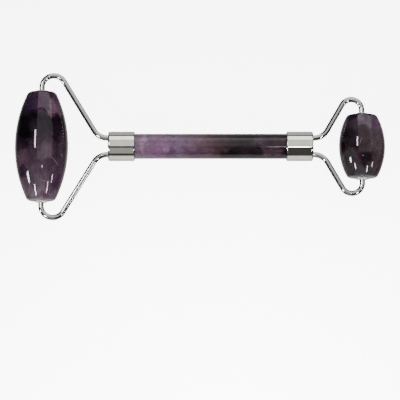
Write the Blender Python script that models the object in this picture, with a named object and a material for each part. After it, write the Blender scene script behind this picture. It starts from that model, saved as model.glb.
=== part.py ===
"""Double-ended gemstone face roller, built as its real pieces.

A turned stone rod is the handle. Each end of it is cemented into a plated brass ferrule, and each ferrule holds
a yoke: one length of round wire bent into a fork. The yoke's hairpin is potted inside the ferrule and its two
tips are stub axles, on which a barrel-shaped stone spins in flanged nylon bushings.

Frame: X runs along the handle from the large roller to the small one, both rollers spin about Y, and Z is up.
The origin lies on the handle's axis, midway between the outer faces of the two rollers. Units are metres.
"""

import math

import bmesh
import bpy
from mathutils import Vector

MM = 0.001

# Handle
ROD_DIAMETER = 9.9 * MM
ROD_EXPOSED = 59.3 * MM  # the length of stone that shows between the ferrules
ROD_EDGE_CHAMFER = 0.4 * MM

# Ferrules
FERRULE_LENGTH = 10.4 * MM
FERRULE_WALL = 0.75 * MM
FERRULE_END_WALL = 1.2 * MM
FERRULE_NOSE_CHAMFER = 0.7 * MM  # on the rim that faces the roller
FERRULE_LIP_CHAMFER = 0.45 * MM  # on the rim that faces the handle

# Yoke wire
WIRE_DIAMETER = 2.2 * MM
HAIRPIN_SIDE_GAP = 0.65 * MM  # between the hairpin and the ferrule's bore
HAIRPIN_LEAD = 0.55 * MM  # straight wire between the ferrule's end wall and the hairpin
BEND_RADIUS = 6.0 * MM  # of the centre line, where an arm turns into the ferrule
LEG_RUN_OUT = 0.4 * MM  # straight wire between that bend and the ferrule's face
LOOP_STAND_OFF = 1.75 * MM  # straight wire between a roller's end and the loop
STUB_LENGTH = 9.0 * MM  # how far a tip reaches into the stone

# Rollers: length along the axle, diameters at the belly and at the ends before rounding, and two profile radii
LARGE_LENGTH = 43.5 * MM
LARGE_DIAMETER = 20.9 * MM
LARGE_END_DIAMETER = 10.6 * MM
LARGE_CROWN_RADIUS = 32.0 * MM  # of the slightly domed end faces
LARGE_CORNER_RADIUS = 1.6 * MM
LARGE_REACH = 26.1 * MM  # from the roller's axis to its ferrule's face
LARGE_LOOP_RADIUS = 4.6 * MM

SMALL_LENGTH = 25.5 * MM
SMALL_DIAMETER = 18.1 * MM
SMALL_END_DIAMETER = 11.1 * MM
SMALL_CROWN_RADIUS = 32.0 * MM
SMALL_CORNER_RADIUS = 1.4 * MM
SMALL_REACH = 19.2 * MM
SMALL_LOOP_RADIUS = 4.1 * MM

# Bushings
BUSHING_WALL = 0.8 * MM
BUSHING_LENGTH = 10.0 * MM
FLANGE_OVERHANG = 0.6 * MM  # how far the flange stands out past the tube
FLANGE_RECESS = 0.6 * MM  # how deep the flange sits in the stone's end
FLANGE_PROUD = 0.35 * MM  # how far it stands out of the end

# Clearances
RUNNING_CLEARANCE = 0.1 * MM  # radial, wire in bushing
GLUE_LINE = 0.1 * MM  # between pieces that are cemented together
SLOT_CLEARANCE = 0.15 * MM  # round the wire where it passes the ferrule's end wall

# Faceting
BARREL_STEPS = 48
BELLY_STEPS = 7  # from a barrel's middle to its corner
CORNER_STEPS = 4
CROWN_STEPS = 2
ROD_STEPS = 48
BUSHING_STEPS = 24
ARC_STEP = math.radians(14)  # the turn between two rings of the wire
WIRE_BEVEL_RESOLUTION = 4
CUTTER_OVERSHOOT = 1.0 * MM

# Sizes that follow from those above
WIRE_RADIUS = WIRE_DIAMETER / 2
ROD_RADIUS = ROD_DIAMETER / 2
SOCKET_RADIUS = ROD_RADIUS + GLUE_LINE
FERRULE_RADIUS = SOCKET_RADIUS + FERRULE_WALL
HAIRPIN_RADIUS = SOCKET_RADIUS - WIRE_RADIUS - HAIRPIN_SIDE_GAP
HAIRPIN_CENTRE_DEPTH = FERRULE_END_WALL + HAIRPIN_LEAD
POTTING_DEPTH = HAIRPIN_CENTRE_DEPTH + HAIRPIN_RADIUS + WIRE_RADIUS + 3 * GLUE_LINE
ROD_SOCKET_DEPTH = FERRULE_LENGTH - POTTING_DEPTH - GLUE_LINE

BUSHING_BORE_RADIUS = WIRE_RADIUS + RUNNING_CLEARANCE
BUSHING_RADIUS = BUSHING_BORE_RADIUS + BUSHING_WALL
FLANGE_RADIUS = BUSHING_RADIUS + FLANGE_OVERHANG
STONE_BORE_RADIUS = BUSHING_RADIUS + GLUE_LINE
STONE_RECESS_RADIUS = FLANGE_RADIUS + GLUE_LINE

AXLE_DISTANCE = LARGE_REACH + SMALL_REACH + 2 * FERRULE_LENGTH + ROD_EXPOSED
OVERALL_LENGTH = AXLE_DISTANCE + LARGE_DIAMETER / 2 + SMALL_DIAMETER / 2
LARGE_AXIS_X = LARGE_DIAMETER / 2 - OVERALL_LENGTH / 2
SMALL_AXIS_X = OVERALL_LENGTH / 2 - SMALL_DIAMETER / 2


def clear_scene():
    for obj in list(bpy.data.objects):
        bpy.data.objects.remove(obj)


def material(name, colour, roughness, metallic=0.0, transmission=0.0):
    made = bpy.data.materials.new(name)
    made.use_nodes = True
    shader = made.node_tree.nodes["Principled BSDF"]
    shader.inputs["Base Color"].default_value = (*colour, 1.0)
    shader.inputs["Roughness"].default_value = roughness
    shader.inputs["Metallic"].default_value = metallic
    shader.inputs["Transmission Weight"].default_value = transmission
    return made


def arc(centre, radius, start, end, steps):
    """Points on a circle from angle start to angle end, both ends included."""
    angles = (start + (end - start) * i / steps for i in range(steps + 1))
    return [(centre[0] + radius * math.cos(a), centre[1] + radius * math.sin(a)) for a in angles]


def mirrored(points, axis):
    """The points in reverse order with one coordinate negated."""
    return [tuple(-c if i == axis else c for i, c in enumerate(p)) for p in reversed(points)]


def lathe(name, profile, axis, steps, surface):
    """Revolves a profile of (along, radius) points about X or Y. Both its ends lie on the axis, or it is a closed loop."""
    mesh = bpy.data.meshes.new(name)
    bm = bmesh.new()
    corners = [bm.verts.new((along, radius, 0) if axis == "X" else (radius, along, 0)) for along, radius in profile]
    edges = [bm.edges.new(pair) for pair in zip(corners, corners[1:])]
    if profile[0][1] > 0:
        edges.append(bm.edges.new((corners[-1], corners[0])))
    direction = (1, 0, 0) if axis == "X" else (0, 1, 0)
    bmesh.ops.spin(
        bm, geom=corners + edges, cent=(0, 0, 0), axis=direction, dvec=(0, 0, 0), angle=2 * math.pi, steps=steps
    )
    bmesh.ops.remove_doubles(bm, verts=bm.verts, dist=0.001 * MM)
    bmesh.ops.recalc_face_normals(bm, faces=bm.faces)
    bm.to_mesh(mesh)
    bm.free()
    mesh.shade_smooth()
    mesh.set_sharp_from_angle(angle=math.radians(35))
    return placed(name, mesh, surface)


def placed(name, data, surface):
    obj = bpy.data.objects.new(name, data)
    if surface is not None:
        obj.data.materials.append(surface)
    bpy.context.scene.collection.objects.link(obj)
    return obj


def axis_empty(name, x):
    """An empty on a roller's axis, which carries the pieces that spin together."""
    empty = bpy.data.objects.new(name, None)
    empty.location = (x, 0, 0)
    bpy.context.scene.collection.objects.link(empty)
    return empty


def cut(target, cutter):
    cutter.hide_render = True
    cutter.display_type = "WIRE"
    boolean = target.modifiers.new("cut_" + cutter.name, "BOOLEAN")
    boolean.operation = "DIFFERENCE"
    boolean.solver = "EXACT"
    boolean.object = cutter


def wire(name, points, radius, surface):
    """Round wire along a path of points, with flat cut ends."""
    curve = bpy.data.curves.new(name, "CURVE")
    curve.dimensions = "3D"
    curve.bevel_depth = radius
    curve.bevel_resolution = WIRE_BEVEL_RESOLUTION
    curve.use_fill_caps = True
    spline = curve.splines.new("POLY")
    spline.points.add(len(points) - 1)
    for point, (x, y) in zip(spline.points, points):
        point.co = (x, y, 0, 1)
    spline.use_smooth = True
    return placed(name, curve, surface)


def as_cutter(name, source):
    """The solid of a wire as a mesh object, because a Boolean takes no curve. The wire itself is removed."""
    bpy.context.view_layer.update()
    mesh = bpy.data.meshes.new_from_object(source.evaluated_get(bpy.context.evaluated_depsgraph_get()))
    bpy.data.objects.remove(source)
    bm = bmesh.new()
    bm.from_mesh(mesh)
    bmesh.ops.remove_doubles(bm, verts=bm.verts, dist=0.001 * MM)
    bmesh.ops.recalc_face_normals(bm, faces=bm.faces)
    bm.to_mesh(mesh)
    bm.free()
    return placed(name, mesh, None)


def arc_steps(turn):
    return max(2, round(abs(turn) / ARC_STEP))


def barrel_profile(length, diameter, end_diameter, crown_radius, corner_radius):
    """A barrel stone's closed section: domed end, rounded corner and bowed side, drilled through and recessed.

    The corner's centre lies where a circle inside the belly's meets a circle inside the crown's.
    """
    bow = (diameter - end_diameter) / 2
    belly_radius = ((length / 2) ** 2 + bow**2) / (2 * bow)
    belly = Vector((0, diameter / 2 - belly_radius))
    crown = Vector((length / 2 - crown_radius, 0))
    to_belly = belly_radius - corner_radius
    to_crown = crown_radius - corner_radius
    apart = (crown - belly).length
    along = (apart**2 + to_belly**2 - to_crown**2) / (2 * apart)
    aside = math.sqrt(to_belly**2 - along**2)
    unit = (crown - belly) / apart
    corner = belly + unit * along + Vector((unit.y, -unit.x)) * aside

    def heading(centre, point):
        return math.atan2(point.y - centre.y, point.x - centre.x)

    side = heading(belly, corner)
    end = heading(crown, corner)
    recess_edge = math.asin(STONE_RECESS_RADIUS / crown_radius)
    half = arc(belly, belly_radius, math.pi / 2, side, BELLY_STEPS)
    half += arc(corner, corner_radius, side, end, CORNER_STEPS)[1:]
    half += arc(crown, crown_radius, end, recess_edge, CROWN_STEPS)[1:]
    recess_floor = length / 2 - FLANGE_RECESS
    half += [(recess_floor, STONE_RECESS_RADIUS), (recess_floor, STONE_BORE_RADIUS)]
    return mirrored(half, 0)[:-1] + half


def bushing_profile(roller_length):
    """A flanged nylon sleeve's closed section at the +Y end of a roller. Its outer face is slightly domed."""
    seat = roller_length / 2 - FLANGE_RECESS + GLUE_LINE
    face = roller_length / 2 + FLANGE_PROUD
    rounding = (face - seat) / 2
    rim = arc((face - rounding, FLANGE_RADIUS - rounding), rounding, math.pi / 2, 0, 4)
    return [
        (roller_length / 2 - BUSHING_LENGTH, BUSHING_BORE_RADIUS),
        (roller_length / 2 - BUSHING_LENGTH, BUSHING_RADIUS),
        (seat, BUSHING_RADIUS),
        (seat, FLANGE_RADIUS),
        *rim,
        (face, BUSHING_BORE_RADIUS + RUNNING_CLEARANCE),
        (face - RUNNING_CLEARANCE, BUSHING_BORE_RADIUS),
    ]


def roller(size, x, length, profile, stone, nylon):
    """A stone and its two bushings, which spin together about their empty."""
    axis = axis_empty(f"{size}_roller_axis", x)
    barrel = lathe(f"{size}_barrel_stone", profile, "Y", BARREL_STEPS, stone)
    near = lathe(f"{size}_bushing_right", mirrored(bushing_profile(length), 0), "Y", BUSHING_STEPS, nylon)
    far = lathe(f"{size}_bushing_left", bushing_profile(length), "Y", BUSHING_STEPS, nylon)
    for piece in (barrel, near, far):
        piece.parent = axis


def yoke_path(roller_length, loop_radius, reach):
    """The yoke's centre line in its own frame: the roller's axis is at x 0 and the ferrule's face at x reach.

    An arm leaves the stone along the axle, loops over the stone's end, runs down a straight that is the inner
    tangent of the loop and of the bend, and turns into the ferrule, where a hairpin joins it to the other arm.
    """
    tip = roller_length / 2 - STUB_LENGTH
    loop = Vector((loop_radius, roller_length / 2 + LOOP_STAND_OFF))
    bend = Vector((reach - LEG_RUN_OUT, HAIRPIN_RADIUS + BEND_RADIUS))
    between = bend - loop
    slope = math.atan2(between.y, between.x) - math.asin((loop_radius + BEND_RADIUS) / between.length)
    loop_end = slope + math.pi / 2
    bend_start = slope - math.pi / 2
    arm = [(0, tip)]
    arm += arc(loop, loop_radius, math.pi, loop_end, arc_steps(math.pi - loop_end))
    arm += arc(bend, BEND_RADIUS, bend_start, -math.pi / 2, arc_steps(slope))
    quarter = arc((reach + HAIRPIN_CENTRE_DEPTH, 0), HAIRPIN_RADIUS, math.pi / 2, 0, arc_steps(math.pi / 2))
    half = arm + quarter
    return half + mirrored(half[:-1], 1)


def hairpin_path():
    """The part of the yoke's centre line inside the ferrule, from its face at x 0."""
    quarter = arc((HAIRPIN_CENTRE_DEPTH, 0), HAIRPIN_RADIUS, math.pi / 2, 0, arc_steps(math.pi / 2))
    half = [(-CUTTER_OVERSHOOT, HAIRPIN_RADIUS)] + quarter
    return half + mirrored(half[:-1], 1)


def oriented(points, face_x, direction):
    """Points given from a ferrule's face inwards, moved to a face at face_x whose ferrule runs along direction."""
    return [(face_x + direction * along, across) for along, across in points]


def ferrule_profile():
    """The cup's section from its face at 0: chamfered nose, end wall, socket for the rod and chamfered lip."""
    return [
        (0, 0),
        (0, FERRULE_RADIUS - FERRULE_NOSE_CHAMFER),
        (FERRULE_NOSE_CHAMFER, FERRULE_RADIUS),
        (FERRULE_LENGTH - FERRULE_LIP_CHAMFER, FERRULE_RADIUS),
        (FERRULE_LENGTH, FERRULE_RADIUS - FERRULE_LIP_CHAMFER),
        (FERRULE_LENGTH, SOCKET_RADIUS),
        (FERRULE_END_WALL, SOCKET_RADIUS),
        (FERRULE_END_WALL, 0),
    ]


def slot_cutter(name, face_x):
    """An oblong bar that cuts the slot through which the hairpin enters the ferrule."""
    radius = WIRE_RADIUS + SLOT_CLEARANCE
    steps = 8
    outline = arc((HAIRPIN_RADIUS, 0), radius, -math.pi / 2, math.pi / 2, steps)
    outline += arc((-HAIRPIN_RADIUS, 0), radius, math.pi / 2, 3 * math.pi / 2, steps)
    reach = FERRULE_END_WALL + CUTTER_OVERSHOOT
    mesh = bpy.data.meshes.new(name)
    bm = bmesh.new()
    face = bm.faces.new([bm.verts.new((face_x - reach, y, z)) for y, z in outline])
    sides = bmesh.ops.extrude_face_region(bm, geom=[face])["geom"]
    moved = [v for v in sides if isinstance(v, bmesh.types.BMVert)]
    bmesh.ops.translate(bm, verts=moved, vec=(2 * reach, 0, 0))
    bmesh.ops.recalc_face_normals(bm, faces=bm.faces)
    bm.to_mesh(mesh)
    bm.free()
    return placed(name, mesh, None)


def ferrule(size, face_x, direction, plated, cement):
    """A ferrule with its slot, and the cement plug that locks the hairpin in it."""
    cup = lathe(f"{size}_ferrule", oriented(ferrule_profile(), face_x, direction), "X", ROD_STEPS, plated)
    cut(cup, slot_cutter(f"{size}_ferrule_slot", face_x))

    radius = SOCKET_RADIUS - GLUE_LINE
    front = FERRULE_END_WALL + GLUE_LINE
    section = [(front, 0), (front, radius), (POTTING_DEPTH, radius), (POTTING_DEPTH, 0)]
    plug = lathe(f"{size}_cement_plug", oriented(section, face_x, direction), "X", BUSHING_STEPS, cement)
    path = oriented(hairpin_path(), face_x, direction)
    tube = wire(f"{size}_hairpin", path, WIRE_RADIUS + GLUE_LINE, None)
    cut(plug, as_cutter(f"{size}_hairpin_channel", tube))


def handle_rod(start_x, end_x, stone):
    section = [
        (start_x, 0),
        (start_x, ROD_RADIUS - ROD_EDGE_CHAMFER),
        (start_x + ROD_EDGE_CHAMFER, ROD_RADIUS),
        (end_x - ROD_EDGE_CHAMFER, ROD_RADIUS),
        (end_x, ROD_RADIUS - ROD_EDGE_CHAMFER),
        (end_x, 0),
    ]
    lathe("handle_rod", section, "X", ROD_STEPS, stone)


def yoke(size, axis_x, direction, roller_length, loop_radius, reach, steel):
    path = yoke_path(roller_length, loop_radius, reach)
    wire(f"{size}_yoke", oriented(path, axis_x, direction), WIRE_RADIUS, steel)


def build():
    clear_scene()
    amethyst = material("amethyst", (0.13, 0.06, 0.14), 0.08)
    steel = material("polished_steel_wire", (0.78, 0.78, 0.77), 0.12, metallic=1.0)
    plated = material("plated_brass", (0.80, 0.80, 0.78), 0.10, metallic=1.0)
    nylon = material("natural_nylon", (0.88, 0.87, 0.84), 0.45, transmission=0.3)
    cement = material("cured_epoxy", (0.75, 0.70, 0.58), 0.5)

    large_face = LARGE_AXIS_X + LARGE_REACH
    small_face = SMALL_AXIS_X - SMALL_REACH

    large = barrel_profile(
        LARGE_LENGTH, LARGE_DIAMETER, LARGE_END_DIAMETER, LARGE_CROWN_RADIUS, LARGE_CORNER_RADIUS
    )
    small = barrel_profile(
        SMALL_LENGTH, SMALL_DIAMETER, SMALL_END_DIAMETER, SMALL_CROWN_RADIUS, SMALL_CORNER_RADIUS
    )
    roller("large", LARGE_AXIS_X, LARGE_LENGTH, large, amethyst, nylon)
    roller("small", SMALL_AXIS_X, SMALL_LENGTH, small, amethyst, nylon)

    yoke("large", LARGE_AXIS_X, 1, LARGE_LENGTH, LARGE_LOOP_RADIUS, LARGE_REACH, steel)
    yoke("small", SMALL_AXIS_X, -1, SMALL_LENGTH, SMALL_LOOP_RADIUS, SMALL_REACH, steel)

    ferrule("large", large_face, 1, plated, cement)
    ferrule("small", small_face, -1, plated, cement)

    socket = FERRULE_LENGTH - ROD_SOCKET_DEPTH
    handle_rod(large_face + socket, small_face - socket, amethyst)


build()
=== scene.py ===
"""The looks of a double-ended amethyst face roller, made around its CAD model, in metres."""

import math

import bpy
from mathutils import Matrix, Vector


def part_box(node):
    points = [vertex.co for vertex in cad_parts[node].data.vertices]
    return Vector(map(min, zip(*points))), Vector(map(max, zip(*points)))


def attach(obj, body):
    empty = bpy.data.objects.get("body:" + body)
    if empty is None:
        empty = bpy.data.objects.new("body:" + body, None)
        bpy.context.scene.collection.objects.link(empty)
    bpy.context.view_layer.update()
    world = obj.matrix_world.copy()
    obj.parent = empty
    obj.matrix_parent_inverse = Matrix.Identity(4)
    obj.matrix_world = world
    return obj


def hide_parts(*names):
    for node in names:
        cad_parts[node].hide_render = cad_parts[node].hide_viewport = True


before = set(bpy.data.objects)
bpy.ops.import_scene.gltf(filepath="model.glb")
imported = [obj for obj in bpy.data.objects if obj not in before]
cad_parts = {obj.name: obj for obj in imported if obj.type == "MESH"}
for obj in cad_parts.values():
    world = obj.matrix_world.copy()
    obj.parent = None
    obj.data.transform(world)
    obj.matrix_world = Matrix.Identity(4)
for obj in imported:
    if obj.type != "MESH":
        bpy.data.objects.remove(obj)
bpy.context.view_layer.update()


# --------------------------------------------------------------------------------------------------
# Handle rod
# A rod of amethyst, ground round on a centreless grinder and tumbled to a wet gloss. It is milky at
# one end and dark at the other, because it was cut across the point of a crystal. Its ends are
# cemented in the ferrules.
# --------------------------------------------------------------------------------------------------

MM = 0.001
# Two places nearer than this are the same
CLOSE = 0.01 * MM
# A bend sharper than this keeps its edge when a piece is shaded smooth
SHARP_BEND = math.radians(30)


def srgb(code):
    """A colour given as sRGB hex, such as "#5a4657", in linear values with alpha."""
    channels = [int(code[i : i + 2], 16) / 255 for i in (1, 3, 5)]
    linear = (c / 12.92 if c <= 0.04045 else ((c + 0.055) / 1.055) ** 2.4 for c in channels)
    return tuple(linear) + (1.0,)


def grey(value):
    """A grey of a linear value, with alpha."""
    return (value, value, value, 1.0)


def node(material, kind, inputs=None, stops=None, **settings):
    """Adds a shader node. An input is a value or the socket that feeds it.

    stops are a colour ramp's (place, colour) pairs.
    """
    made = material.node_tree.nodes.new("ShaderNode" + kind)
    for key, value in settings.items():
        setattr(made, key, value)
    for socket, value in (inputs or {}).items():
        if isinstance(value, bpy.types.NodeSocket):
            material.node_tree.links.new(value, made.inputs[socket])
        else:
            made.inputs[socket].default_value = value
    if stops:
        elements = made.color_ramp.elements
        elements[0].position, elements[0].color = stops[0]
        elements[1].position, elements[1].color = stops[-1]
        for place, colour in stops[1:-1]:
            elements.new(place).color = colour
    return made


def new_material(name):
    """A material with its Principled shader wired to the output, and nothing else set."""
    made = bpy.data.materials.new(name)
    made.use_nodes = True
    return made, made.node_tree.nodes["Principled BSDF"]


# The milk that fills healed cracks, and how much of it a veil shows
MILK = srgb("#6f5d6c")
VEIL = 0.1
# A cloud is whole out to the first share of its radius, and gone at the second
CLOUD_CORE, CLOUD_RIM = 0.45, 1.25


def amethyst(name, centre, along, half, zones, clouds, cracks=()):
    """Polished amethyst: purple quartz, cut and tumbled, glossy as glass and clouded inside.

    zones are the colour's (place, hex) pairs from one end of the piece to the other. clouds are
    patches of other quartz, each (x, y, z, radii, hex) in mm from the centre, and cracks are
    (x, y, z, normal, radius) in the same way.
    """
    made, shader = new_material(name)
    place = node(made, "TexCoord").outputs["Object"]
    local = {"Vector": place, "Location": [-c for c in centre]}
    local = node(made, "Mapping", local).outputs["Vector"]

    # The borders of all zones and clouds wander by about 2 mm, as the crystal grew
    swing = 7 * MM
    drift = {"Vector": local, "Scale": 1 / (5 * MM), "Detail": 3.0, "Roughness": 0.6}
    drift = node(made, "TexNoise", drift).outputs["Color"]
    offset = {"Vector": drift, "Location": [-swing / 2] * 3, "Scale": [swing] * 3}
    offset = node(made, "Mapping", offset).outputs["Vector"]
    warped = node(made, "VectorMath", {0: local, 1: offset}, operation="ADD").outputs["Vector"]
    spread = node(made, "SeparateXYZ", {"Vector": warped}).outputs[along]
    share = {"Value": spread, "From Min": -half, "From Max": half}
    share = node(made, "MapRange", share).outputs["Result"]
    stops = [(at, srgb(code)) for at, code in zones]
    colour = node(made, "ValToRGB", {"Fac": share}, stops=stops).outputs["Color"]
    for x, y, z, radii, code in clouds:
        inverse = [1 / (r * MM) for r in radii]
        shift = [-p * MM * i for p, i in zip((x, y, z), inverse)]
        about = node(made, "Mapping", {"Vector": warped, "Scale": inverse, "Location": shift})
        far = node(made, "VectorMath", {0: about.outputs["Vector"]}, operation="LENGTH")
        fade = {
            "Value": far.outputs["Value"],
            "From Min": CLOUD_CORE,
            "From Max": CLOUD_RIM,
            "To Min": 1.0,
            "To Max": 0.0,
        }
        share = node(made, "MapRange", fade, interpolation_type="SMOOTHSTEP").outputs["Result"]
        mixed = {0: share, 6: colour, 7: srgb(code)}
        colour = node(made, "Mix", mixed, data_type="RGBA").outputs[2]

    # Growth lines: fine streaks about 1 mm wide that run the piece's length
    long = 0.16
    thin = {"X": (long, 1, 1), "Y": (1, long, 1)}[along]
    drawn = node(made, "Mapping", {"Vector": warped, "Scale": thin}).outputs["Vector"]
    lines = {"Vector": drawn, "Scale": 1 / (1.6 * MM), "Detail": 4.0, "Roughness": 0.65}
    lines = node(made, "TexNoise", lines).outputs["Fac"]
    dimmed, lifted = (0.3, grey(0.62)), (0.7, grey(1.25))
    light = node(made, "ValToRGB", {"Fac": lines}, stops=[dimmed, lifted]).outputs["Color"]
    light = {0: 1.0, 6: colour, 7: light}
    colour = node(made, "Mix", light, data_type="RGBA", blend_type="MULTIPLY").outputs[2]

    # Milky veils: thin curved films, seen where coarse noise crosses its middle
    film = {
        "Vector": warped,
        "Scale": 1 / (7 * MM),
        "Detail": 3.0,
        "Roughness": 0.5,
        "Distortion": 0.4,
    }
    film = node(made, "TexNoise", film).outputs["Fac"]
    ridge = [(0.42, grey(0)), (0.5, grey(VEIL)), (0.56, grey(VEIL * 0.4)), (0.7, grey(0))]
    ridge = node(made, "ValToRGB", {"Fac": film}, stops=ridge).outputs["Color"]
    # Only some parts of the stone have them, in regions of 11 mm
    some = {"Vector": local, "Scale": 1 / (11 * MM), "Detail": 1.0}
    some = node(made, "TexNoise", some).outputs["Fac"]
    some = {"Value": some, "From Min": 0.42, "From Max": 0.62}
    some = node(made, "MapRange", some).outputs["Result"]
    milky = node(made, "Math", {0: ridge, 1: some}, operation="MULTIPLY").outputs[0]
    colour = node(made, "Mix", {0: milky, 6: colour, 7: MILK}, data_type="RGBA").outputs[2]

    # Cracks: flat breaks that show as hairlines of 0.15 mm, and fade out towards their rims
    wobble = {"Vector": drift, "Scale": [1.2 * MM] * 3}
    wobble = node(made, "Mapping", wobble).outputs["Vector"]
    bent = node(made, "VectorMath", {0: local, 1: wobble}, operation="ADD").outputs["Vector"]
    for x, y, z, normal, radius in cracks:
        about = {0: bent, 1: (x * MM, y * MM, z * MM)}
        about = node(made, "VectorMath", about, operation="SUBTRACT").outputs["Vector"]
        off = node(made, "VectorMath", {0: about, 1: normal}, operation="DOT_PRODUCT")
        off = node(made, "Math", {0: off.outputs["Value"]}, operation="ABSOLUTE").outputs[0]
        line = {
            "Value": off,
            "From Min": 0.05 * MM,
            "From Max": 0.2 * MM,
            "To Min": 0.75,
            "To Max": 0.0,
        }
        line = node(made, "MapRange", line).outputs["Result"]
        far = node(made, "VectorMath", {0: about}, operation="LENGTH").outputs["Value"]
        near = {
            "Value": far,
            "From Min": radius * 0.4 * MM,
            "From Max": radius * MM,
            "To Min": 1.0,
            "To Max": 0.0,
        }
        near = node(made, "MapRange", near).outputs["Result"]
        line = node(made, "Math", {0: line, 1: near}, operation="MULTIPLY").outputs[0]
        colour = node(made, "Mix", {0: line, 6: colour, 7: MILK}, data_type="RGBA").outputs[2]

    made.node_tree.links.new(colour, shader.inputs["Base Color"])
    # Quartz's own IOR
    shader.inputs["IOR"].default_value = 1.544
    # Fine pits left by the tumbling scatter part of what a flawless polish would mirror
    shader.inputs["Specular IOR Level"].default_value = 0.22
    # A tumbled gloss isn't quite even: it is a little duller in patches of 2 mm
    sheen = {"Vector": local, "Scale": 1 / (2 * MM), "Detail": 3.0}
    sheen = node(made, "TexNoise", sheen).outputs["Fac"]
    gloss = {"Value": sheen, "To Min": 0.02, "To Max": 0.08}
    gloss = node(made, "MapRange", gloss).outputs["Result"]
    made.node_tree.links.new(gloss, shader.inputs["Roughness"])
    # Grinding leaves waves of a few micrometres, which bend the reflections' edges slightly
    waves = {"Vector": local, "Scale": 1 / (5 * MM), "Detail": 1.0}
    waves = node(made, "TexNoise", waves).outputs["Fac"]
    bump = {"Height": waves, "Strength": 0.06, "Distance": 0.05 * MM}
    bump = node(made, "Bump", bump).outputs["Normal"]
    made.node_tree.links.new(bump, shader.inputs["Normal"])
    return made


def start_edit(name):
    """Names the new primitive, applies its place and turn, and opens it with nothing selected."""
    made = bpy.context.object
    made.name = made.data.name = name
    bpy.ops.object.transform_apply(location=True, rotation=True, scale=True)
    bpy.ops.object.mode_set(mode="EDIT")
    bpy.ops.mesh.select_all(action="DESELECT")
    return made


def pick(made, test, kind="FACE"):
    """Selects, in edit mode, the faces, edges or vertices whose middle passes the test."""
    bpy.ops.mesh.select_mode(type=kind)
    bpy.ops.mesh.select_all(action="DESELECT")
    bpy.ops.object.mode_set(mode="OBJECT")
    mesh = made.data
    for part in {"FACE": mesh.polygons, "EDGE": mesh.edges, "VERT": mesh.vertices}[kind]:
        if kind == "EDGE":
            start, end = (mesh.vertices[index].co for index in part.vertices)
            middle = (start + end) / 2
        else:
            middle = part.center if kind == "FACE" else part.co
        part.select = bool(test(middle))
    bpy.ops.object.mode_set(mode="EDIT")


def finish_piece(made, material, body, stands_for):
    """Closes edit mode, shades the piece, gives it its material and body, and hides its CAD part.
    """
    if bpy.context.mode != "OBJECT":
        bpy.ops.mesh.select_all(action="SELECT")
        bpy.ops.mesh.normals_make_consistent(inside=False)
        bpy.ops.object.mode_set(mode="OBJECT")
    bpy.ops.object.shade_smooth_by_angle(angle=SHARP_BEND)
    # Long faces keep their own normals beside a bevel's small ones, so their reflections run true
    bpy.context.view_layer.objects.active = made
    weighted = made.modifiers.new("true_faces", "WEIGHTED_NORMAL")
    weighted.keep_sharp = True
    bpy.ops.object.modifier_apply(modifier=weighted.name)
    made.data.materials.clear()
    made.data.materials.append(material)
    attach(made, body)
    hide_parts(stands_for)
    made.select_set(False)


bpy.ops.object.select_all(action="DESELECT")

ROD_SIDES = 96
ROD_EDGE = 0.4 * MM
rod_low, rod_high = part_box("handle_rod")
rod_middle = (rod_low + rod_high) / 2
rod_radius = (rod_high.z - rod_low.z) / 2
rod_length = rod_high.x - rod_low.x

bpy.ops.mesh.primitive_cylinder_add(
    vertices=ROD_SIDES,
    radius=rod_radius,
    depth=rod_length,
    location=rod_middle,
    rotation=(0, math.pi / 2, 0),
)
rod = start_edit("amethyst_rod")
pick(rod, lambda p: abs(abs(p.x - rod_middle.x) - rod_length / 2) < CLOSE, "EDGE")
bpy.ops.mesh.bevel(offset=ROD_EDGE, segments=4)
ROD_ZONES = [
    (0.0, "#705d6f"),
    (0.18, "#735271"),
    (0.30, "#66506a"),
    (0.42, "#5c4551"),
    (0.52, "#402c30"),
    (0.60, "#2a2024"),
    (0.75, "#120a10"),
    (0.88, "#24101c"),
    (1.0, "#040e04"),
]
ROD_CLOUDS = [
    (-15.5, -2.6, 3, (3.0, 2.6, 4), "#523b51"),
    (-26, 1.4, 3, (1.2, 5, 5), "#876f84"),
    (-18, -0.6, 4, (1.5, 6, 5), "#725670"),
    (-7, -3.6, 3, (5, 2.2, 4), "#523a4c"),
    (8, -3.6, 3, (5, 2, 4), "#040404"),
    (19, 0.4, 3, (4, 2, 4), "#3c2638"),
    (23, -2.6, 3, (4.5, 2.2, 4), "#44323b"),
    (-1.5, -2.4, 3, (3, 1.8, 4), "#523a48"),
]
rod_stone = amethyst("amethyst_of_rod", rod_middle, "X", rod_length / 2, ROD_ZONES, ROD_CLOUDS)
finish_piece(rod, rod_stone, "handle", "handle_rod")


# --------------------------------------------------------------------------------------------------
# Barrel stones
# Two amethyst barrels, ground on a profiled wheel, drilled through along their axis with a diamond
# core drill and tumbled to a gloss. A shallow flat-bottomed recess at each end takes the bushing's
# flange.
# --------------------------------------------------------------------------------------------------

RECESS_RADIUS = 2.7 * MM
RECESS_DEPTH = 0.6 * MM
BORE_RADIUS = 2.1 * MM
CROWN_RADIUS = 32 * MM
# How finely each arc of the outline, and the turn round the axle, are divided
BELLY_STEPS, CORNER_STEPS, CROWN_STEPS, AXLE_STEPS = 26, 10, 6, 128
# Points nearer than this are one point
WELD = 0.002 * MM


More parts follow.
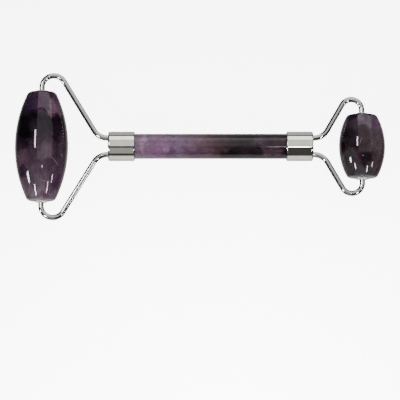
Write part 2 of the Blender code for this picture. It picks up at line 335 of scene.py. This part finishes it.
def barrel(name, cad_node, length, end_diameter, corner_radius):
    """A barrel stone: a point swung round each arc of the outline, and that round the axle."""
    low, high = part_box(cad_node)
    centre = (low + high) / 2
    radius = (high.z - low.z) / 2
    bow = radius - end_diameter / 2
    belly_radius = ((length / 2) ** 2 + bow**2) / (2 * bow)

    # The corner's centre is where a circle inside the belly's meets a circle inside the crown's
    belly = Vector((centre.x, 0, radius - belly_radius))
    crown = Vector((centre.x, length / 2 - CROWN_RADIUS, 0))
    to_belly = belly_radius - corner_radius
    to_crown = CROWN_RADIUS - corner_radius
    between = crown - belly
    along = (between.length**2 + to_belly**2 - to_crown**2) / (2 * between.length)
    aside = math.sqrt(to_belly**2 - along**2)
    unit = between.normalized()
    corner = belly + unit * along + Vector((0, unit.z, -unit.y)) * aside

    def heading(middle, point):
        return math.atan2(point.z - middle.z, point.y - middle.y)

    side = heading(belly, corner)
    end = heading(crown, corner)
    recess = math.asin(RECESS_RADIUS / CROWN_RADIUS)

    bpy.ops.mesh.primitive_plane_add(size=MM, location=(centre.x, 0, radius))
    made = start_edit(name)
    bpy.ops.mesh.select_mode(type="VERT")
    bpy.ops.mesh.select_all(action="SELECT")
    bpy.ops.mesh.merge(type="CENTER")
    turns = (
        (belly, math.pi / 2 - side, BELLY_STEPS),
        (corner, side - end, CORNER_STEPS),
        (crown, end - recess, CROWN_STEPS),
    )
    for middle, turn, steps in turns:
        bpy.ops.mesh.spin(steps=steps, angle=turn, center=middle, axis=(1, 0, 0))
    # Down into the recess, across its floor to the bore, and along the bore to the middle
    for step in ((0, -RECESS_DEPTH, 0), (0, 0, BORE_RADIUS - RECESS_RADIUS)):
        bpy.ops.mesh.extrude_region_move(TRANSFORM_OT_translate={"value": step})
    bpy.ops.object.mode_set(mode="OBJECT")
    inner = min(made.data.vertices, key=lambda v: v.co.z).co.y
    bpy.ops.object.mode_set(mode="EDIT")
    bpy.ops.mesh.extrude_region_move(TRANSFORM_OT_translate={"value": (0, -inner, 0)})
    bpy.ops.mesh.select_all(action="SELECT")
    bpy.ops.mesh.spin(steps=AXLE_STEPS, angle=2 * math.pi, center=centre, axis=(0, 1, 0))
    bpy.ops.mesh.select_all(action="SELECT")
    bpy.ops.mesh.remove_doubles(threshold=WELD)
    bpy.ops.object.mode_set(mode="OBJECT")
    mirror = made.modifiers.new("other_half", "MIRROR")
    mirror.use_axis = (False, True, False)
    mirror.merge_threshold = WELD
    bpy.ops.object.modifier_apply(modifier=mirror.name)
    bpy.ops.object.mode_set(mode="EDIT")
    return made, centre, radius


LARGE_LENGTH = 43.5 * MM
LARGE_END_DIAMETER = 10.6 * MM
LARGE_CORNER_RADIUS = 1.6 * MM
LARGE_ZONES = [
    (0.0, "#64565f"),
    (0.3, "#402e3c"),
    (0.5, "#2d1b2a"),
    (0.75, "#040404"),
    (1.0, "#3c293b"),
]
LARGE_CLOUDS = [
    (-5.5, 4.7, 8, (3.4, 6.5, 6), "#050408"),
    (-4.5, 15.7, 6, (3.0, 4.0, 5), "#26132e"),
    (0.6, 16.2, 8, (2.4, 5.0, 4), "#2f042d"),
    (5.0, 7.2, 8, (1.5, 8.0, 5), "#140412"),
    (6.8, 14.2, 5, (1.3, 4.0, 5), "#56444d"),
    (-6.6, -5.9, 8, (3.2, 3.4, 5), "#4d3a47"),
    (2.0, -3.8, 10, (3.0, 3.6, 4), "#4b3b47"),
    (-7.2, -10.3, 6, (2.6, 3.2, 5), "#281c29"),
    (-1.0, -10.3, 9, (3.4, 3.0, 4), "#473743"),
    (6.0, -14.3, 6, (3.4, 5.5, 6), "#40283e"),
    (-0.5, -18.3, 7, (5.0, 1.4, 5), "#604e5b"),
    (2.0, -20.1, 6, (2.4, 1.6, 5), "#574053"),
    (8.2, 0.2, 6, (1.8, 6.0, 5), "#383035"),
    (4.4, 14.6, 7, (1.6, 4.2, 4), "#6b4a60"),
]
LARGE_CRACKS = [
    (6.0, -6.0, 8.0, (0.77, 0.62, 0.1), 3.4),
    (3.0, -14.0, 8.0, (0.1, 0.98, 0.15), 3.0),
]
large, large_centre, large_radius = barrel(
    "large_amethyst_barrel",
    "large_barrel_stone",
    LARGE_LENGTH,
    LARGE_END_DIAMETER,
    LARGE_CORNER_RADIUS,
)
large_stone = amethyst(
    "amethyst_of_large_barrel",
    large_centre,
    "Y",
    LARGE_LENGTH / 2,
    LARGE_ZONES,
    LARGE_CLOUDS,
    LARGE_CRACKS,
)
finish_piece(large, large_stone, "large_roller", "large_barrel_stone")

SMALL_LENGTH = 25.5 * MM
SMALL_END_DIAMETER = 11.1 * MM
SMALL_CORNER_RADIUS = 1.4 * MM
SMALL_ZONES = [
    (0.0, "#3b383a"),
    (0.3, "#3b2a31"),
    (0.5, "#1b040a"),
    (0.75, "#423240"),
    (1.0, "#120410"),
]
SMALL_CLOUDS = [
    (-0.6, 9.9, 5, (1.8, 3.0, 4), "#5a4457"),
    (4.6, 8.4, 5, (3.6, 3.2, 5), "#503c4e"),
    (5.4, 0.4, 6, (3.2, 6.0, 6), "#4a3f42"),
    (-5.4, 3.4, 6, (2.8, 6.0, 6), "#1c161a"),
    (-0.2, 3.3, 8, (2.6, 4.0, 5), "#2a1a1f"),
    (-5.0, -5.1, 6, (2.6, 4.0, 5), "#333336"),
    (0.6, -6.1, 8, (2.8, 4.0, 5), "#1b131a"),
]
SMALL_CRACKS = [
    (4.6, -1.0, 6.5, (0.6, 0.75, 0.2), 2.0),
    (-0.5, 1.5, 9.0, (0.95, -0.2, 0.1), 1.6),
]
small, small_centre, small_radius = barrel(
    "small_amethyst_barrel",
    "small_barrel_stone",
    SMALL_LENGTH,
    SMALL_END_DIAMETER,
    SMALL_CORNER_RADIUS,
)
small_stone = amethyst(
    "amethyst_of_small_barrel",
    small_centre,
    "Y",
    SMALL_LENGTH / 2,
    SMALL_ZONES,
    SMALL_CLOUDS,
    SMALL_CRACKS,
)
finish_piece(small, small_stone, "small_roller", "small_barrel_stone")


# --------------------------------------------------------------------------------------------------
# Bushings
# Flanged sleeves of natural nylon, moulded and pressed into the stones' ends. Only the domed flange
# shows, whitish and a little translucent, with a satin skin from the mould.
# --------------------------------------------------------------------------------------------------

BUSHING_SIDES = 64
BUSHING_BORE = 1.2 * MM
BUSHING_RADIUS = 2.0 * MM
FLANGE_RADIUS = 2.6 * MM
FLANGE_THICKNESS = 0.85 * MM
FLANGE_ROUND = 0.4 * MM
# A face whose middle is this near the axis is an end face
ON_AXIS = 0.2 * MM

nylon, shader = new_material("natural_nylon_moulded")
# Nylon 66 has an IOR of 1.53. Unpigmented it is milky, so light enters it and spreads for about a
# millimetre, and its colour and its satin skin vary in patches of 1.5 mm.
place = node(nylon, "TexCoord").outputs["Object"]
mottle = {"Vector": place, "Scale": 1 / (1.5 * MM), "Detail": 3.0}
mottle = node(nylon, "TexNoise", mottle).outputs["Fac"]
whites = [(0.35, srgb("#dcdad6")), (0.65, srgb("#efeeea"))]
milky = node(nylon, "ValToRGB", {"Fac": mottle}, stops=whites)
nylon.node_tree.links.new(milky.outputs["Color"], shader.inputs["Base Color"])
skin = node(nylon, "MapRange", {"Value": mottle, "To Min": 0.28, "To Max": 0.42})
nylon.node_tree.links.new(skin.outputs["Result"], shader.inputs["Roughness"])
shader.inputs["IOR"].default_value = 1.53
shader.inputs["Subsurface Weight"].default_value = 0.6
shader.inputs["Subsurface Radius"].default_value = (1.0 * MM, 0.9 * MM, 0.8 * MM)
shader.inputs["Subsurface Scale"].default_value = 1.0


def off_axis(point, centre):
    """How far a point is from an axle through the centre."""
    return (point - centre).xz.length


for size in ("large", "small"):
    for side, sign in (("left", 1), ("right", -1)):
        cad_node = f"{size}_bushing_{side}"
        low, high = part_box(cad_node)
        centre = (low + high) / 2
        face = high.y if sign > 0 else low.y
        bpy.ops.mesh.primitive_cylinder_add(
            vertices=BUSHING_SIDES,
            radius=BUSHING_RADIUS,
            depth=high.y - low.y,
            location=centre,
            rotation=(math.pi / 2, 0, 0),
        )
        bushing = start_edit(f"{size}_nylon_bushing_{side}")
        # The flange: the tube is cut across twice under it, and what lies beyond is swelled
        seat = face - sign * FLANGE_THICKNESS
        for plane in (seat, seat - sign * CLOSE):
            bpy.ops.mesh.select_all(action="SELECT")
            bpy.ops.mesh.bisect(plane_co=(0, plane, 0), plane_no=(0, 1, 0))
        pick(bushing, lambda p: sign * (p.y - seat) > -CLOSE / 2, "VERT")
        grow = FLANGE_RADIUS / BUSHING_RADIUS
        flange_centre = (centre.x, face, centre.z)
        bpy.ops.transform.resize(value=(grow, 1, grow), center_override=flange_centre)
        # Its outer rim is rounded, and the bore is opened from both ends
        beyond = (BUSHING_RADIUS + FLANGE_RADIUS) / 2
        pick(bushing, lambda p: abs(p.y - face) < CLOSE and off_axis(p, centre) > beyond, "EDGE")
        bpy.ops.mesh.bevel(offset=FLANGE_ROUND, segments=6)
        for end in (low.y, high.y):
            pick(bushing, lambda p: abs(p.y - end) < CLOSE and off_axis(p, centre) < ON_AXIS)
            flat = FLANGE_RADIUS - FLANGE_ROUND if end == face else BUSHING_RADIUS
            bpy.ops.mesh.inset(thickness=flat - BUSHING_BORE)
        # Nothing else has its middle on the axis, so this picks the two faces that close the bore
        pick(bushing, lambda p: off_axis(p, centre) < ON_AXIS)
        bpy.ops.mesh.bridge_edge_loops()
        finish_piece(bushing, nylon, f"{size}_roller", cad_node)


# --------------------------------------------------------------------------------------------------
# Yokes
# Each is one length of 2.2 mm stainless wire, bent round pins in a jig into a fork whose tips are
# the axles, then barrel polished. The polish leaves it bright and slightly uneven.
# --------------------------------------------------------------------------------------------------

BEND_RADIUS = 6.0 * MM
LEG_RUN_OUT = 0.4 * MM
LARGE_LOOP_RADIUS = 4.6 * MM
SMALL_LOOP_RADIUS = 4.1 * MM
LOOP_STAND_OFF = 1.75 * MM
STUB_LENGTH = 9.0 * MM
HAIRPIN_RADIUS = 3.3 * MM
HAIRPIN_DEPTH = 1.75 * MM
BEND_STEP = math.radians(4)
# The wire's section has 4 + 2 * ROUNDING sides
ROUNDING = 14

steel, shader = new_material("stainless_wire_polished")
# Barrel polished stainless is a slightly dull mirror, smeared in patches of about a millimetre
place = node(steel, "TexCoord").outputs["Object"]
shader.inputs["Metallic"].default_value = 1.0
smear = {"Vector": place, "Scale": 1 / (0.9 * MM), "Detail": 4.0}
smear = node(steel, "TexNoise", smear).outputs["Fac"]
greys = [(0.3, srgb("#a2a29f")), (0.7, srgb("#b0b0ad"))]
tone = node(steel, "ValToRGB", {"Fac": smear}, stops=greys)
steel.node_tree.links.new(tone.outputs["Color"], shader.inputs["Base Color"])
haze = node(steel, "MapRange", {"Value": smear, "To Min": 0.04, "To Max": 0.12})
steel.node_tree.links.new(haze.outputs["Result"], shader.inputs["Roughness"])


def yoke(name, cad_node, axis_x, direction, roller_length, loop_radius, reach):
    """A yoke: a point drawn along the straights and swung round each bending pin, then mirrored."""
    loop = Vector((loop_radius, roller_length / 2 + LOOP_STAND_OFF))
    bend = Vector((reach - LEG_RUN_OUT, HAIRPIN_RADIUS + BEND_RADIUS))
    between = bend - loop
    both_radii = loop_radius + BEND_RADIUS
    slope = math.atan2(between.y, between.x) - math.asin(both_radii / between.length)
    arm = math.sqrt(between.length**2 - both_radii**2)

    def draw(distance, heading):
        offset = (direction * distance * math.cos(heading), distance * math.sin(heading), 0)
        bpy.ops.mesh.extrude_region_move(TRANSFORM_OT_translate={"value": offset})

    def swing(pin, turn):
        centre = (axis_x + direction * pin.x, pin.y, 0)
        steps = max(2, round(abs(turn) / BEND_STEP))
        bpy.ops.mesh.spin(steps=steps, angle=-direction * turn, center=centre, axis=(0, 0, 1))

    tip = roller_length / 2 - STUB_LENGTH
    bpy.ops.mesh.primitive_plane_add(size=MM, location=(axis_x, tip, 0))
    made = start_edit(name)
    bpy.ops.mesh.select_mode(type="VERT")
    bpy.ops.mesh.select_all(action="SELECT")
    bpy.ops.mesh.merge(type="CENTER")
    draw(loop.y - tip, math.pi / 2)
    swing(loop, slope - math.pi / 2)
    draw(arm, slope)
    swing(bend, -slope)
    draw(LEG_RUN_OUT + HAIRPIN_DEPTH, 0)
    swing(Vector((reach + HAIRPIN_DEPTH, 0)), -math.pi / 2)
    bpy.ops.object.mode_set(mode="OBJECT")
    mirror = made.modifiers.new("other_arm", "MIRROR")
    mirror.use_axis = (False, True, False)
    mirror.merge_threshold = WELD
    bpy.ops.object.modifier_apply(modifier=mirror.name)
    bpy.ops.object.convert(target="CURVE")
    low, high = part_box(cad_node)
    made.data.bevel_depth = (high.z - low.z) / 2
    made.data.bevel_resolution = ROUNDING
    made.data.use_fill_caps = True
    bpy.ops.object.convert(target="MESH")
    finish_piece(made, steel, "handle", cad_node)


large_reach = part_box("large_ferrule")[0].x - large_centre.x
small_reach = small_centre.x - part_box("small_ferrule")[1].x
large_run = (large_centre.x, 1, LARGE_LENGTH, LARGE_LOOP_RADIUS, large_reach)
small_run = (small_centre.x, -1, SMALL_LENGTH, SMALL_LOOP_RADIUS, small_reach)
yoke("large_wire_yoke", "large_yoke", *large_run)
yoke("small_wire_yoke", "small_yoke", *small_run)


# --------------------------------------------------------------------------------------------------
# Ferrules
# Cups turned from brass bar, bored for the rod and slotted for the wire, then polished and plated
# bright. The rod stands in the bore, and the slot in the end wall lets the hairpin in.
# --------------------------------------------------------------------------------------------------

FERRULE_SIDES = 96
FERRULE_END_WALL = 1.2 * MM
SOCKET_RADIUS = 5.05 * MM
NOSE_CHAMFER = 0.7 * MM
LIP_CHAMFER = 0.45 * MM
# An edge that lies no further than this inside the ferrule's radius is on its outer rim
RIM_DEPTH = 0.05 * MM
SLOT_SIDES = 48
SLOT_RADIUS = 1.25 * MM
SLOT_BAR = 2 * MM

plated, shader = new_material("brass_plated_bright")
# Bright plating is a mirror with a warm tinge, a touch hazier in patches of about 3 mm
place = node(plated, "TexCoord").outputs["Object"]
shader.inputs["Metallic"].default_value = 1.0
film = {"Vector": place, "Scale": 1 / (3 * MM), "Detail": 3.0}
film = node(plated, "TexNoise", film).outputs["Fac"]
silvers = [(0.3, srgb("#c9c9bf")), (0.7, srgb("#d3d3ca"))]
tone = node(plated, "ValToRGB", {"Fac": film}, stops=silvers)
plated.node_tree.links.new(tone.outputs["Color"], shader.inputs["Base Color"])
haze = node(plated, "MapRange", {"Value": film, "To Min": 0.03, "To Max": 0.07})
plated.node_tree.links.new(haze.outputs["Result"], shader.inputs["Roughness"])

for size, direction in (("large", 1), ("small", -1)):
    cad_node = f"{size}_ferrule"
    low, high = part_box(cad_node)
    radius = (high.z - low.z) / 2
    length = high.x - low.x
    nose, lip = (low.x, high.x) if direction > 0 else (high.x, low.x)
    bpy.ops.mesh.primitive_cylinder_add(
        vertices=FERRULE_SIDES,
        radius=radius,
        depth=length,
        location=(low + high) / 2,
        rotation=(0, math.pi / 2, 0),
    )
    cup = start_edit(f"{size}_plated_ferrule")
    pick(cup, lambda p: abs(p.x - lip) < CLOSE and p.yz.length < ON_AXIS)
    bpy.ops.mesh.inset(thickness=radius - SOCKET_RADIUS)
    bored = (direction * (FERRULE_END_WALL - length), 0, 0)
    bpy.ops.mesh.extrude_region_move(TRANSFORM_OT_translate={"value": bored})
    for end, chamfer in ((nose, NOSE_CHAMFER), (lip, LIP_CHAMFER)):
        pick(cup, lambda p: abs(p.x - end) < CLOSE and p.yz.length > radius - RIM_DEPTH, "EDGE")
        bpy.ops.mesh.bevel(offset=chamfer, segments=5)
    bpy.ops.object.mode_set(mode="OBJECT")

    # The slot's cutter: a round bar with its two halves drawn apart to the hairpin's width
    bpy.ops.mesh.primitive_cylinder_add(
        vertices=SLOT_SIDES,
        radius=SLOT_RADIUS,
        depth=SLOT_BAR,
        location=(nose, 0, 0),
        rotation=(0, math.pi / 2, 0),
    )
    cutter = start_edit(f"{size}_slot_cutter")
    bpy.ops.mesh.select_all(action="SELECT")
    bpy.ops.mesh.bisect(plane_co=(nose, 0, 0), plane_no=(0, 1, 0))
    for half in (1, -1):
        pick(cutter, lambda p: half * p.y > CLOSE, "VERT")
        bpy.ops.transform.translate(value=(0, half * HAIRPIN_RADIUS, 0))
    bpy.ops.object.mode_set(mode="OBJECT")
    slot = cup.modifiers.new("slot", "BOOLEAN")
    slot.object = cutter
    slot.solver = "EXACT"
    bpy.context.view_layer.objects.active = cup
    cup.select_set(True)
    bpy.ops.object.modifier_apply(modifier=slot.name)
    bpy.data.objects.remove(cutter)
    finish_piece(cup, plated, "handle", cad_node)


# --------------------------------------------------------------------------------------------------
# Cement plugs
# Two-part epoxy, poured into each ferrule round the hairpin and cured. It shows only as a glossy
# amber sliver in the slot beside the wire. The CAD solids already have its shape.
# --------------------------------------------------------------------------------------------------

epoxy, shader = new_material("epoxy_cured")
# Cured epoxy has an IOR of 1.55, a straw colour and trapped bubbles just under a millimetre apart
place = node(epoxy, "TexCoord").outputs["Object"]
bubbles = {"Vector": place, "Scale": 1 / (0.8 * MM)}
bubbles = node(epoxy, "TexVoronoi", bubbles).outputs["Distance"]
straws = [(0.0, srgb("#d9cfb4")), (0.35, srgb("#b9ab86"))]
straw = node(epoxy, "ValToRGB", {"Fac": bubbles}, stops=straws)
epoxy.node_tree.links.new(straw.outputs["Color"], shader.inputs["Base Color"])
shader.inputs["Roughness"].default_value = 0.2
shader.inputs["IOR"].default_value = 1.55
for size in ("large", "small"):
    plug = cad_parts[f"{size}_cement_plug"]
    plug.data.materials.clear()
    plug.data.materials.append(epoxy)


# --------------------------------------------------------------------------------------------------
# Studio
# The roller lies on a pale sheet that is lit from below as well as above, so its shadows are faint.
# Softboxes hang overhead, in front and behind, and small panels give the stones their highlights.
# Pale boards and black flags stand round it, for the polished pieces to mirror.
# --------------------------------------------------------------------------------------------------

# The two barrels differ in size, so the sheet is tilted a little to touch both
FLOOR_SIZE = 3
slant = math.asin((large_radius - small_radius) / (small_centre.x - large_centre.x))
below = large_radius * Vector((math.sin(slant), 0, -math.cos(slant)))
touch = Vector((large_centre.x, 0, 0)) + below
bpy.ops.mesh.primitive_plane_add(size=FLOOR_SIZE, location=touch, rotation=(0, -slant, 0))
floor = bpy.context.object
floor.name = "pale_floor"
sheet, shader = new_material("pale_sheet_matte")
shader.inputs["Base Color"].default_value = srgb("#e8e7e6")
shader.inputs["Roughness"].default_value = 0.8
floor.data.materials.append(sheet)
# Reflections see the boards and flags instead of the sheet, which would wash out the outlines
floor.visible_glossy = False

# The sheet lies on a light table, whose prism film sends its glow nearly straight up. It whitens
# the sheet for the camera, and lights nothing else.
TABLE_SIZE = 2.5
TABLE_SPREAD = math.radians(60)
TABLE_POWER = 19
TABLE_LIFT = 0.02 * MM
glow = bpy.data.lights.new("light_table", "AREA")
glow.size = TABLE_SIZE
glow.spread = TABLE_SPREAD
glow.energy = TABLE_POWER
table = bpy.data.objects.new("light_table", glow)
table.location = touch + Vector((0, 0, TABLE_LIFT))
table.rotation_euler = (math.pi, -slant, 0)
table.visible_camera = True
table.visible_diffuse = table.visible_glossy = False
bpy.context.scene.collection.objects.link(table)


def softbox(name, place, size, radiance, lights_matte=True, target=(0, 0, 0)):
    """A flat lamp of a (width, height) size, facing the target with its width along X."""
    lamp = bpy.data.lights.new(name, "AREA")
    lamp.shape = "RECTANGLE"
    lamp.size, lamp.size_y = size
    lamp.energy = radiance * math.pi * size[0] * size[1]
    facing = (Vector(place) - Vector(target)).normalized()
    side = Vector((0, 1, 0)).cross(facing).normalized()
    holder = bpy.data.objects.new(name, lamp)
    turned = Matrix((side, facing.cross(side), facing)).transposed().to_4x4()
    holder.matrix_world = Matrix.Translation(place) @ turned
    holder.visible_diffuse = lights_matte
    bpy.context.scene.collection.objects.link(holder)


softbox("overhead_softbox", (0.57, 0.39, 1.24), (2.06, 1.19), 1.25, target=(0.57, 0, 0))
softbox("near_scrim", (-0.50, -0.89, 0.95), (1.02, 1.10), 0.45, target=(-0.50, 0, 0))
softbox("rear_softbox", (0.47, 1.31, 0.74), (2.0, 0.89), 3.0, target=(0.47, 0, 0))
softbox("front_panel_left", (-0.32, -0.29, 0.33), (0.05, 0.10), 110.0)
softbox("high_strip", (0.082, -0.26, 1.07), (0.044, 0.034), 70.0)
softbox("front_panel_right", (0.26, -0.29, 0.33), (0.04, 0.10), 80.0)
# These three are screened off from the sheet, and only give the polished stones a glint
softbox("left_glint", (-0.90, -0.29, 0.33), (0.16, 0.14), 110.0, lights_matte=False)
softbox("right_glint", (0.62, -0.29, 0.33), (0.06, 0.10), 50.0, lights_matte=False)
softbox("high_glint", (-1.02, 0.53, 2.13), (0.24, 0.70), 70.0, lights_matte=False)

# The room: black flags at both ends, and pale boards in front and behind. The compass runs from
# the left end round by the front, the right end and the back. A board fades out past its edges.
FLAG, FRONT_BOARD, BACK_BOARD = grey(0.02), grey(1.5), grey(0.7)
FRONT, BACK = 0.25, 0.75
BOARD_HALF, BOARD_FADE = 0.03, 0.1
CEILING, GROUND = grey(0.08), grey(0.9)
boards = [(0.0, FLAG)]
for middle, board in ((FRONT, FRONT_BOARD), (BACK, BACK_BOARD)):
    boards += [(middle - BOARD_FADE, FLAG), (middle - BOARD_HALF, board)]
    boards += [(middle + BOARD_HALF, board), (middle + BOARD_FADE, FLAG)]
boards += [(1.0, FLAG)]

world = bpy.data.worlds.new("studio_surroundings")
bpy.context.scene.world = world
world.use_nodes = True
around = node(world, "TexCoord").outputs["Generated"]
height = node(world, "SeparateXYZ", {"Vector": around}).outputs["Z"]
compass = node(world, "TexGradient", {"Vector": around}, gradient_type="RADIAL").outputs["Fac"]
walls = node(world, "ValToRGB", {"Fac": compass}, stops=boards).outputs["Color"]
# Above the horizon the room is dark. Straight below, the ground is pale again, which gives the
# stones their soft rims.
above = {"Value": height, "From Min": -0.01, "From Max": 0.05}
above = node(world, "MapRange", above).outputs["Result"]
walls = node(world, "Mix", {0: above, 6: walls, 7: CEILING}, data_type="RGBA").outputs[2]
under = {"Value": height, "From Min": -0.6, "From Max": -0.8}
under = node(world, "MapRange", under).outputs["Result"]
walls = node(world, "Mix", {0: under, 6: walls, 7: GROUND}, data_type="RGBA").outputs[2]
world.node_tree.links.new(walls, world.node_tree.nodes["Background"].inputs["Color"])

# The camera looks almost straight down, from a little on the near side. It aims past the roller's
# near side, so the roller lies in the upper half of its view.
CAMERA_DISTANCE = 0.9
VIEW_WIDTH = 156 * MM
SENSOR_WIDTH = 36
LEAN = math.radians(8)
AIM = Vector((0, -21.2 * MM, 0))
camera = bpy.data.objects.new("camera", bpy.data.cameras.new("camera"))
camera.data.sensor_width = SENSOR_WIDTH
camera.data.lens = SENSOR_WIDTH * CAMERA_DISTANCE / VIEW_WIDTH
camera.data.clip_start = 0.01
camera.location = AIM + CAMERA_DISTANCE * Vector((0, -math.sin(LEAN), math.cos(LEAN)))
camera.rotation_euler = (LEAN, 0, 0)
bpy.context.scene.collection.objects.link(camera)
bpy.context.scene.camera = camera
